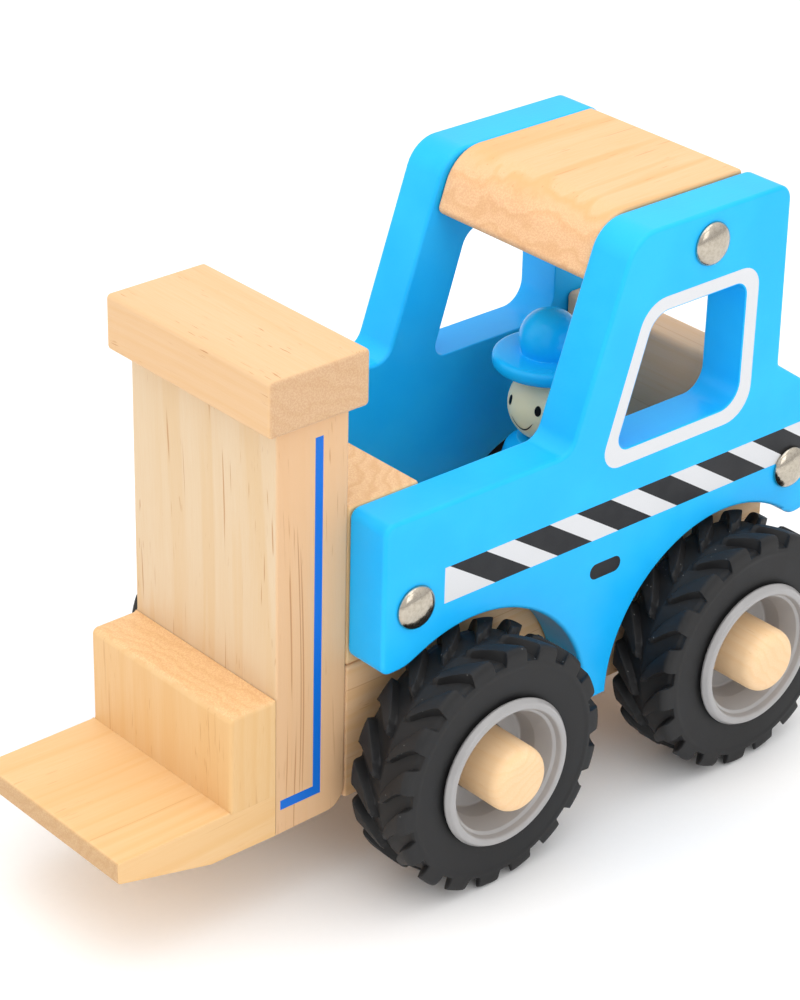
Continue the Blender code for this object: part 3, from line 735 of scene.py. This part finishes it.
def panel_outline():
    """The side panel's outline, from the front over the cab and back along the wheel arches."""
    low, high = node_box("side_panel_left")
    hood_top = node_box("hood_block")[1].z
    front_leave = math.radians(FRONT_LEAVE)
    rear_leave = math.radians(REAR_LEAVE)
    rear_arch = arc((REAR_ARCH_Y, ARCH_Z), ARCH_RADIUS, rear_leave, math.pi, 44)
    front_arch = arc((FRONT_ARCH_Y, ARCH_Z), ARCH_RADIUS, 0.0, front_leave, 40)
    corners = [
        (low.y, FRONT_LOBE, 2.5), (low.y, hood_top, 2.5), (PILLAR_FOOT, hood_top, 5.0),
        (PILLAR_FOOT + PILLAR_LEAN * (high.z - hood_top), high.z, 9.0), (CAB_REAR_Y, high.z, 4.0),
        (*DECK_START, 2.0), (high.y, deck_height(high.y), 8.0), (high.y, REAR_LOBE, 5.0),
        (arch_corner(REAR_ARCH_Y, rear_leave, REAR_LOBE), REAR_LOBE, 4.0),
        *[(y, z, 0) for y, z in rear_arch + front_arch],
        (arch_corner(FRONT_ARCH_Y, front_leave, FRONT_LOBE), FRONT_LOBE, 11.0),
    ]
    return rounded(corners)


def window_outline(grow=0.0):
    """The cab window's outline, or its printed border's when it is grown outwards."""
    grow_low = grow * BORDER_LOW_SHARE
    front = WINDOW_FOOT - grow * math.sqrt(1 + WINDOW_LEAN**2)
    bottom = WINDOW_BOTTOM - grow_low
    top = WINDOW_TOP + grow
    rear = WINDOW_REAR + grow_low
    places = [
        (front - WINDOW_LEAN * grow_low, bottom), (rear, bottom), (rear, top),
        (front + WINDOW_LEAN * (top - WINDOW_BOTTOM), top),
    ]
    radii = [radius + grow * share for radius, share in zip(WINDOW_RADII, BORDER_RADIUS_SHARES)]
    return rounded([(*place, radius) for place, radius in zip(places, radii)])


def stripe_areas():
    """The black slanted stripes of the hazard band."""
    low = node_box("side_panel_left")[0]
    areas = []
    start = BAND_FRONT + STRIPE_START
    while start < BAND_REAR:
        corners = [(start, BAND_TOP), (start + STRIPE_WIDTH, BAND_TOP)]
        corners += [(start + STRIPE_WIDTH + STRIPE_SHIFT, BAND_BOTTOM), (start + STRIPE_SHIFT, BAND_BOTTOM)]
        areas.append(clipped(corners, max(low.y, BAND_FRONT), BAND_REAR))
        start += STRIPE_PERIOD
    return [area for area in areas if len(area) > 2]


def clipped(corners, first, last):
    """The part of a convex outline between two values of its first coordinate."""
    for limit, sign in ((first, 1), (last, -1)):
        kept = []
        for before, point in zip(corners[-1:] + corners[:-1], corners):
            inside = sign * (point[0] - limit) >= 0
            if inside != (sign * (before[0] - limit) >= 0):
                share = (limit - before[0]) / (point[0] - before[0])
                kept.append((limit, before[1] + share * (point[1] - before[1])))
            if inside:
                kept.append(tuple(point))
        corners = kept
    return [Vector(corner) for corner in corners]


def add_panels(looks):
    white, black = 1, 2
    half_height = HANDLE_SIZE[1] / 2
    handle_low = (HANDLE_CENTRE[0] - HANDLE_SIZE[0] / 2, HANDLE_CENTRE[1] - half_height)
    handle_high = (HANDLE_CENTRE[0] + HANDLE_SIZE[0] / 2, HANDLE_CENTRE[1] + half_height)
    marks = [
        (window_outline(BORDER_WIDTH), white),
        (rectangle((BAND_FRONT, BAND_BOTTOM), (BAND_REAR, BAND_TOP)), white),
        (rectangle(handle_low, handle_high, half_height * 0.98), black),
    ]
    marks += [(area, black) for area in stripe_areas()]
    looks_used = [looks["blue"], looks["white_ink"], looks["black_ink"]]
    for name, side in SIDES.items():
        node = f"side_panel_{name}"
        low, high = node_box(node)
        prints = [(side, area, number) for area, number in marks]
        shape = slab(panel_outline(), low.x, high.x, PANEL_EDGE, [window_outline()], prints)
        new_piece(f"painted_panel_{name}", shape, looks_used, "chassis", [node])


# ---- wooden blocks


def block(node, corners, looks, body, edge=WOOD_EDGE, holes=(), prints=(), crisp=None):
    """A pine block along X that replaces its CAD node, with these (Y, Z) corners and their radii."""
    low, high = node_box(node)
    shape = slab(rounded(corners), low.x, high.x, edge, holes, prints, crisp)
    return new_piece("wood_" + node, shape, looks, body, [node])


def box_corners(node, radius):
    """A node's (Y, Z) box as corners of this radius."""
    low, high = node_box(node)
    places = [(low.y, low.z), (high.y, low.z), (high.y, high.z), (low.y, high.z)]
    return [(a, b, radius) for a, b in places]


def add_chassis_blocks(looks):
    bores = []
    for axle in ("front_axle", "rear_axle"):
        centre, radius = round_place(axle)
        bores.append(arc(centre, radius + BORE_GAP, 0.0, 2 * math.pi, 48)[:-1])
    beam_corners = box_corners("chassis_beam", 1.2)
    beam = block("chassis_beam", beam_corners, [looks["beam"]], "chassis", holes=bores)
    hood = block("hood_block", box_corners("hood_block", 0.9), [looks["hood"]], "chassis")
    low, high = node_box("rear_block")
    deck = [
        (low.y, low.z, 0.8), (high.y, low.z, 0.8), (high.y, deck_height(high.y), 4.0),
        (DECK_START[0], high.z, 3.0), (low.y, high.z, 1.5),
    ]
    block("rear_block", deck, [looks["rear"]], "chassis")
    low, high = node_box("roof_block")
    slope = PILLAR_LEAN * (high.z - low.z)
    roof = [
        (low.y, low.z, 1.8), (high.y, low.z, 1.0), (high.y, high.z, 1.2),
        (low.y + slope, high.z, 11.0),
    ]
    block("roof_block", roof, [looks["roof"]], "chassis")
    cut_groove((beam, hood))


def cut_groove(blocks):
    """The dovetail groove that the mast's key slides in, cut into the front of these blocks."""
    front = node_box("chassis_beam")[0]
    ahead = front.y - 2.0
    groove = [
        (-GROOVE_NECK, ahead), (GROOVE_NECK, ahead), (GROOVE_NECK, front.y),
        (GROOVE_TAIL, front.y + GROOVE_DEPTH), (-GROOVE_TAIL, front.y + GROOVE_DEPTH),
        (-GROOVE_NECK, front.y),
    ]
    for piece in blocks:
        cut(piece, groove, front.z - GROOVE_BELOW, GROOVE_TOP)


def line_areas(side):
    """The printed L-shaped line on the mast's side: an upright and a foot towards the fork."""
    low, high = node_box("mast_post")
    top = high.z - LINE_DROP
    front = low.y + LINE_FRONT
    rear = front + LINE_WIDTH
    foot_front = low.y + FOOT_FRONT
    foot_low = low.z + FOOT_BOTTOM
    foot_high = foot_low + FOOT_HEIGHT
    corners = [
        (front, top), (rear, top), (rear, foot_low), (foot_front, foot_low),
        (foot_front, foot_high), (front, foot_high),
    ]
    return [(side, [Vector(corner) for corner in corners], 1)]


def add_mast_blocks(looks):
    low, high = node_box("mast_post")
    carriage_top = node_box("fork_carriage_block")[1].z
    post = [
        (low.y, low.z, 0.0), (high.y, low.z, 5.0), (high.y, high.z, 0.9), (low.y, high.z, 0.9),
        (low.y, carriage_top + 0.6, 0.0), (low.y, carriage_top - 0.4, 0.0),
    ]

    def on_fork_seam(point):
        return point.x < low.y + NEAR and point.y < carriage_top

    post_looks = [looks["post"], looks["line_ink"]]
    lines = line_areas(1) + line_areas(-1)
    block("mast_post", post, post_looks, "mast", POST_EDGE, prints=lines, crisp=on_fork_seam)
    block("mast_cap", box_corners("mast_cap", 1.2), [looks["cap"]], "mast", CAP_EDGE)
    add_fork(looks)


def add_fork(looks):
    """The carriage block and the fork plate, glued flush to each other, with a hairline seam to the post."""
    seam_y = node_box("mast_post")[0].y - HAIRLINE
    low, high = node_box("fork_plate")
    housing_y = node_box("fork_carriage_block")[0].y - SKIN_GAP
    housing_z = high.z - HOUSING_DEPTH
    tip = high.z - FORK_TIP_THICK
    plate = [
        (seam_y, low.z, 0.0), (seam_y, housing_z, 0.0), (housing_y, housing_z, 0.0),
        (housing_y, high.z, 0.0), (housing_y - 1.0, high.z, 0.0), (low.y, high.z, 1.0),
        (low.y, tip, 1.0), (FORK_RAMP_Y, low.z, 0.8),
    ]

    def on_plate_seam(point):
        in_housing = point.y > housing_z - NEAR and point.x > housing_y - NEAR
        return point.x > seam_y - NEAR or in_housing

    block("fork_plate", plate, [looks["plate"]], "mast", PLATE_EDGE, crisp=on_plate_seam)
    low, high = node_box("fork_carriage_block")
    bottom = housing_z + SKIN_GAP
    carriage = [
        (low.y, bottom, 0.0), (seam_y, bottom, 0.0), (seam_y, high.z, 0.0),
        (seam_y - 0.8, high.z, 0.0), (low.y, high.z, 1.6), (low.y, bottom + 1.0, 0.0),
    ]

    def on_carriage_seam(point):
        return point.y < bottom + NEAR or point.x > seam_y - NEAR

    used = [looks["carriage"]]
    block("fork_carriage_block", carriage, used, "mast", CARRIAGE_EDGE, crisp=on_carriage_seam)


def show_hidden_wood(looks):
    """The glued dowels and the slide key stay as the CAD made them, in plain pine."""
    for node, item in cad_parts.items():
        if "_dowel_" in node or node == "mast_slide_key":
            item.data.materials.clear()
            item.data.materials.append(looks["peg"])


# ---- wheels


def tyre_rows():
    """Rows across half a tyre from its bead: share of half the width, radius on a lug, radius between."""
    bead = [(0.90, 16.8), (0.925, 17.3), (0.93, 18.2)]
    wall = [(0.95, 18.9), (0.965, 20.2), (0.978, 21.8), (0.985, 23.4), (0.986, 25.0)]
    ridge = [(0.988, 25.5), (0.998, 25.9), (1.0, 26.3), (0.996, 26.7)]
    rows = [(share, radius, radius) for share, radius in bead + wall + ridge]
    rows += [(0.985, 27.2, 27.0), (0.980, 28.2, 27.15), (0.967, 29.1, 27.2), (0.942, 29.75, 27.22)]
    rows += [(0.908, 30.15, 27.25), (0.865, 30.4, 27.3)]
    outer_shares = (0.82, 0.77, 0.72, 0.66, 0.60, 0.54, 0.48, 0.42, 0.36, 0.30)
    middle_shares = (0.25, 0.20, 0.15, 0.10, 0.05, 0.0)
    for share in outer_shares + middle_shares:
        rows.append((share, TREAD_RADIUS, VALLEY_MIDDLE - (VALLEY_MIDDLE - VALLEY_SHOULDER) * share))
    return rows


def lug_columns(share):
    """Columns over one pitch, the lug's and then the valley's, at this share of half the width.

    Each is (angle from the lug's middle, height, distance from its middle as a share of its half). A lug
    drops steeply on one side and slopes gently on the other, and narrows towards the tread's middle.
    """
    half = LUG_TIP_HALF + (LUG_HALF - LUG_TIP_HALF) * share**1.2
    gentle = LUG_SLOPE * (1.35 - 0.75 * share)
    columns = []
    for part in (1.0, 0.7, 0.4, 0.15):
        columns.append((-half - gentle * part, 1 - smooth(part), 1.0))
    for part in (-1.0, -0.6, 0.0, 0.6, 1.0):
        columns.append((half * part, 1.0 - 0.03 * part**4, abs(part)))
    for part in (0.35, 0.7, 1.0):
        columns.append((half + LUG_FLANK * part, 1 - smooth(part), 1.0))
    first, last = columns[-1][0], columns[0][0] + 360 / LUGS
    count = len(columns)
    valley = [(first + (last - first) * (step + 1) / (count + 1), 0.0, 1.0) for step in range(count)]
    return columns + valley


def smooth(share):
    """The share from 0 to 1, eased at both ends."""
    share = min(1.0, max(0.0, share))
    return share * share * (3 - 2 * share)


def tread_columns(across):
    """(angle, height) of every column over one pitch, at this place across the tyre from -1 to 1.

    The other shoulder's lugs are half a pitch on. Near the middle the columns change over between the two.
    """
    own = lug_columns(abs(across))
    count = len(own) // 2
    pitch = 360 / LUGS
    far = [(angle - pitch / 2, height, part) for angle, height, part in own[count:] + own[:count]]
    far = far[:count] + [(angle + pitch, height, part) for angle, height, part in far[count:]]
    mixed = smooth((across / MIDDLE_ZONE + 1) / 2)
    columns = []
    for one, other in zip(own, far):
        angle = other[0] + (one[0] - other[0]) * mixed
        height, part = one[1:] if across > 0 else other[1:]
        end = smooth((abs(across) - LUG_END * (0.4 + part**2)) / LUG_END_RAMP)
        columns.append((angle, height * end))
    return columns


def tyre_shape(node):
    """A tyre as a closed grid whose columns follow the lugs from the shoulders to the middle."""
    low, high = node_box(node)
    middle = (low.x + high.x) / 2
    side = math.copysign(1.0, middle)
    reach = (high.x - low.x) / 2
    centre = round_place(node)[0]
    rows = tyre_rows()
    rows += [(-share, lug, valley) for share, lug, valley in reversed(rows[:-1])]
    shape = bmesh.new()
    rings = []
    for across, lug_radius, valley_radius in rows:
        lean = LUG_LEAN * max(0.0, 1 - abs(across) / 0.85) ** 1.25
        ring = []
        for lug in range(LUGS):
            for angle, height in tread_columns(across):
                radius = valley_radius + (lug_radius - valley_radius) * height
                turn = math.radians(-90 - LUG_HALF + lug * 360 / LUGS + angle + lean)
                y = centre[0] + radius * math.cos(turn)
                z = centre[1] + radius * math.sin(turn)
                ring.append(shape.verts.new((middle + side * across * reach, y, z)))
        rings.append(ring)
    for first, second in zip(rings, rings[1:] + rings[:1]):
        bridge(shape, first, second)
    return shape


def rim_shape(node, bore):
    """A rim with a rolled outer flange, a step inside it and a deep dish round the axle."""
    low, high = node_box(node)
    side = math.copysign(1.0, low.x + high.x)
    inner, outer = sorted((abs(low.x), abs(high.x)))
    centre, radius = round_place(node)
    profile = [
        (inner, bore), (RIM_DISH_X, bore), (RIM_DISH_X, 12.6, 0.8), (outer - 6.0, 13.2, 1.0),
        (outer - 1.9, 14.9, 0.5), (outer - 1.5, 15.6, 0.3), (outer, 16.1, 0.7),
        (outer, radius - 0.9, 0.9), (outer - 1.4, radius, 0.6), (outer - 2.1, radius - 0.4, 0.3),
        (outer - 2.0, RIM_SEAT_RADIUS), (RIM_SEAT_X, RIM_SEAT_RADIUS), (RIM_SEAT_X, 14.9),
        (RIM_DISH_X - 2.4, 14.1), (RIM_DISH_X - 2.4, bore + 2.6), (inner, bore + 2.4),
    ]
    return turned(round_corners(profile), 128, "X", centre, side)


def axle_shape(node):
    """A dowel with generously rounded ends."""
    tip = node_box(node)[1].x
    centre, radius = round_place(node)
    half = round_corners([(tip, 0.0), (tip, radius, AXLE_END_ROUND), (0.0, radius)], 8)
    profile = half + [(-along, size) for along, size in reversed(half[:-1])]
    return turned(profile, 72, "X", centre)


def add_wheels(looks):
    for end in ("front", "rear"):
        body = f"{end}_wheels"
        axle = f"{end}_axle"
        new_piece(f"dowel_{axle}", axle_shape(axle), [looks["dowel"]], body, [axle])
        bore = round_place(axle)[1] + RIM_BORE_GAP
        for side in SIDES:
            rim = f"rim_{end}_{side}"
            shape = rim_shape(rim, bore)
            new_piece("moulded_" + rim, shape, [looks["plastic"]], body, [rim])
            tyre = f"tyre_{end}_{side}"
            shape = tyre_shape(tyre)
            new_piece("rubber_" + tyre, shape, [looks["rubber"]], body, [tyre], TYRE_SHARP)


# ---- nails and driver


def add_nails(looks):
    for place in ("front", "roof", "rear"):
        for name, side in SIDES.items():
            node = f"nail_{place}_{name}"
            low, high = node_box(node)
            centre, radius = round_place(node)
            tip, crown = sorted((abs(low.x), abs(high.x)))
            seat = node_box(f"side_panel_{name}")
            face = max(abs(seat[0].x), abs(seat[1].x)) + SKIN_GAP
            spring = face + NAIL_RIM
            rise = crown - face - NAIL_RIM
            profile = [(tip, 0.0), (tip + NAIL_POINT, NAIL_SHANK), (face, NAIL_SHANK)]
            profile += [(face, radius - 0.15), (spring, radius)]
            for step in range(1, NAIL_STEPS):
                turn = math.pi / 2 * step / NAIL_STEPS
                profile.append((spring + rise * math.sin(turn), radius * math.cos(turn)))
            profile.append((crown, 0.0))
            shape = turned(profile, 48, "X", centre, side)
            new_piece(f"dome_{node}", shape, [looks["nickel"]], "chassis", [node])


def add_driver(looks):
    low, high = node_box("driver_body")
    centre = ((low.x + high.x) / 2, (low.y + high.y) / 2)
    shape = driver_body_shape(low, high, centre)
    new_piece("painted_driver_body", shape, [looks["hat_blue"]], "chassis", ["driver_body"])

    low, high = node_box("driver_head")
    middle = low.z + HEAD_MIDDLE
    radius = (high.x - low.x) / 2
    shape = head_shape(low.z, high.z, middle, radius, centre)
    new_piece("painted_driver_head", shape, [looks["skin"]], "chassis", ["driver_head"])
    add_face(looks, Vector((*centre, middle)), radius)

    low, high = node_box("driver_hat")
    shape = hat_shape(low, high, centre)
    new_piece("painted_driver_hat", shape, [looks["hat_blue"]], "chassis", ["driver_hat"])


def driver_body_shape(low, high, centre):
    """A turned peg that tapers from its base to its neck, on a spigot in the beam."""
    seat = node_box("chassis_beam")[1].z + BORE_GAP
    base = (high.x - low.x) / 2
    profile = [
        (low.z, 0.0), (low.z, SPIGOT_RADIUS), (seat, SPIGOT_RADIUS), (seat, base, 0.9),
        (seat + 6.0, base - 0.5, 3.0), (seat + 14.2, base - 1.8, 3.0),
        (seat + 18.7, base - 3.0, 2.0), (high.z, base - 5.6, 0.8), (high.z, 0.0),
    ]
    return turned(round_corners(profile), 96, "Z", centre)


def head_shape(bottom, top, middle, radius, centre):
    """A ball round the head's middle, flat where it meets the body and the hat."""
    first = math.asin((bottom - middle) / radius)
    last = math.asin((top - middle) / (radius + 0.6))
    profile = [(bottom, 0.0)]
    for row in range(HEAD_ROWS + 1):
        angle = first + (last - first) * row / HEAD_ROWS
        profile.append((middle + radius * math.sin(angle), radius * math.cos(angle)))
    profile.append((profile[-1][0], 0.0))
    return turned(profile, 96, "Z", centre)


def hat_shape(low, high, centre):
    """A round-edged brim under a dome."""
    brim = (high.x - low.x) / 2
    dome_z = high.z - HAT_DOME
    brim_top = low.z + BRIM_THICK
    start = math.asin((brim_top - dome_z) / HAT_DOME)
    profile = [(low.z, 0.0), (low.z, brim, 1.5), (brim_top, brim, 1.6)]
    profile.append((brim_top, HAT_DOME * math.cos(start) + 0.15, 0.3))
    for row in range(1, HAT_ROWS):
        angle = start + (math.pi / 2 - start) * row / HAT_ROWS
        profile.append((dome_z + HAT_DOME * math.sin(angle), HAT_DOME * math.cos(angle)))
    profile.append((high.z, 0.0))
    return turned(round_corners(profile), 96, "Z", centre)


def on_head(centre, radius, turn, rise):
    """A point on the head at these degrees from straight ahead and above level."""
    level = math.cos(math.radians(rise))
    ahead = Vector((level * math.sin(math.radians(turn)), -level * math.cos(math.radians(turn)), 0.0))
    ahead.z = math.sin(math.radians(rise))
    return centre + ahead * radius


def add_eye(shape, centre, radius, turn):
    """An oval dot on the head, as rings round its middle."""
    rings = []
    for share in (1.0, 0.66, 0.33):
        ring = []
        for step in range(EYE_STEPS):
            angle = 2 * math.pi * step / EYE_STEPS
            across = turn + EYE_HALF[0] * share * math.cos(angle)
            rise = EYE_RISE + EYE_HALF[1] * share * math.sin(angle)
            ring.append(shape.verts.new(on_head(centre, radius, across, rise)))
        rings.append(ring)
    for first, second in zip(rings, rings[1:]):
        bridge(shape, first, second)
    tip = shape.verts.new(on_head(centre, radius, turn, EYE_RISE))
    for first, second in zip(rings[-1], rings[-1][1:] + rings[-1][:1]):
        shape.faces.new((first, second, tip))


def add_smile(shape, centre, radius):
    """A curved line on the head that thins towards its ends."""
    rows = []
    for step in range(SMILE_STEPS + 1):
        share = 2 * step / SMILE_STEPS - 1
        turn = FACE_TURN + SMILE_HALF * share
        rise = SMILE_RISE + SMILE_CURVE * share**2
        half = SMILE_WIDTH * math.sqrt(max(0.04, 1 - abs(share) ** 6))
        points = [on_head(centre, radius, turn, rise + half * edge) for edge in (-1, 1)]
        rows.append([shape.verts.new(point) for point in points])
    for first, second in zip(rows, rows[1:]):
        shape.faces.new((first[0], second[0], second[1], first[1]))


def add_face(looks, centre, radius):
    """Two printed oval eyes and a thin printed smile, as films that follow the head."""
    film = radius + PRINT_FILM
    shape = bmesh.new()
    for side in (-1, 1):
        add_eye(shape, centre, film, FACE_TURN + side * EYE_TURN)
    add_smile(shape, centre, film)
    bmesh.ops.solidify(shape, geom=shape.faces[:], thickness=PRINT_THICK)
    new_piece("driver_face_print", shape, [looks["black_ink"]], "chassis", [])


# ---- studio


def add_camera():
    azimuth = math.radians(CAMERA_AZIMUTH)
    elevation = math.radians(CAMERA_ELEVATION)
    level = math.cos(elevation)
    back = Vector((math.sin(azimuth) * level, -math.cos(azimuth) * level, math.sin(elevation)))
    right = Vector((math.cos(azimuth), math.sin(azimuth), 0.0))
    turn = Matrix((right, back.cross(right), back)).transposed()
    roll = Matrix.Rotation(math.radians(CAMERA_ROLL), 3, "Z")
    data = bpy.data.cameras.new("camera")
    data.lens = CAMERA_LENS
    data.clip_end = 20.0
    camera = in_scene("camera", data)
    place = Matrix.Translation((CAMERA_AIM + back * CAMERA_DISTANCE) * MM)
    camera.matrix_world = place @ (turn @ roll).to_4x4()
    bpy.context.scene.camera = camera


def add_light(name, place, size, power):
    """A square softbox at this place, in metres, facing the toy."""
    data = bpy.data.lights.new(name, "AREA")
    data.shape = "SQUARE"
    data.size = size
    data.energy = power
    light = in_scene(name, data)
    light.location = place
    light.rotation_euler = (Vector(LIGHT_TARGET) - Vector(place)).to_track_quat("-Z", "Y").to_euler()


def add_floor():
    floor_mesh = bpy.data.meshes.new("studio_floor")
    corners = [(a, b, 0) for a, b in rectangle((-FLOOR_REACH,) * 2, (FLOOR_REACH,) * 2)]
    floor_mesh.from_pydata(corners, [], [(0, 1, 2, 3)])
    floor = in_scene("studio_floor", floor_mesh)
    look = Look("studio_paper")
    fibres = look.noise(look.in_mm(), 0.6, 3.0)
    look.set(Base_Color=look.mix(fibres, (0.93, 0.93, 0.93), (0.95, 0.95, 0.95)), Roughness=0.9)
    look.set(Specular_IOR_Level=0.1)
    floor_mesh.materials.append(look.material)


def add_world():
    """White studio walls, a little greyer below."""
    world = bpy.data.worlds.new("studio")
    bpy.context.scene.world = world
    world.use_nodes = True
    tree = world.node_tree
    background = tree.nodes["Background"]
    place = tree.nodes.new("ShaderNodeTexCoord")
    split = tree.nodes.new("ShaderNodeSeparateXYZ")
    band = tree.nodes.new("ShaderNodeValToRGB")
    grey, white = band.color_ramp.elements
    grey.position = 0.0
    grey.color = (0.62, 0.62, 0.63, 1.0)
    white.position = 0.75
    white.color = (1.0, 1.0, 1.0, 1.0)
    tree.links.new(place.outputs["Generated"], split.inputs[0])
    tree.links.new(split.outputs["Z"], band.inputs[0])
    tree.links.new(band.outputs[0], background.inputs["Color"])
    background.inputs["Strength"].default_value = WORLD_STRENGTH


def add_studio():
    add_floor()
    add_world()
    add_light("overhead_softbox", (0.1, -0.1, 1.3), 1.2, 4.6)
    add_light("front_softbox", (-0.5, -1.2, 0.7), 0.9, 1.8)
    add_light("side_softbox", (1.2, -0.3, 0.8), 0.8, 3.0)
    scene = bpy.context.scene
    scene.view_settings.view_transform = "Standard"
    scene.view_settings.look = "None"


def main():
    add_camera()
    looks = make_looks()
    add_panels(looks)
    add_chassis_blocks(looks)
    add_mast_blocks(looks)
    show_hidden_wood(looks)
    add_wheels(looks)
    add_nails(looks)
    add_driver(looks)
    add_studio()


main()
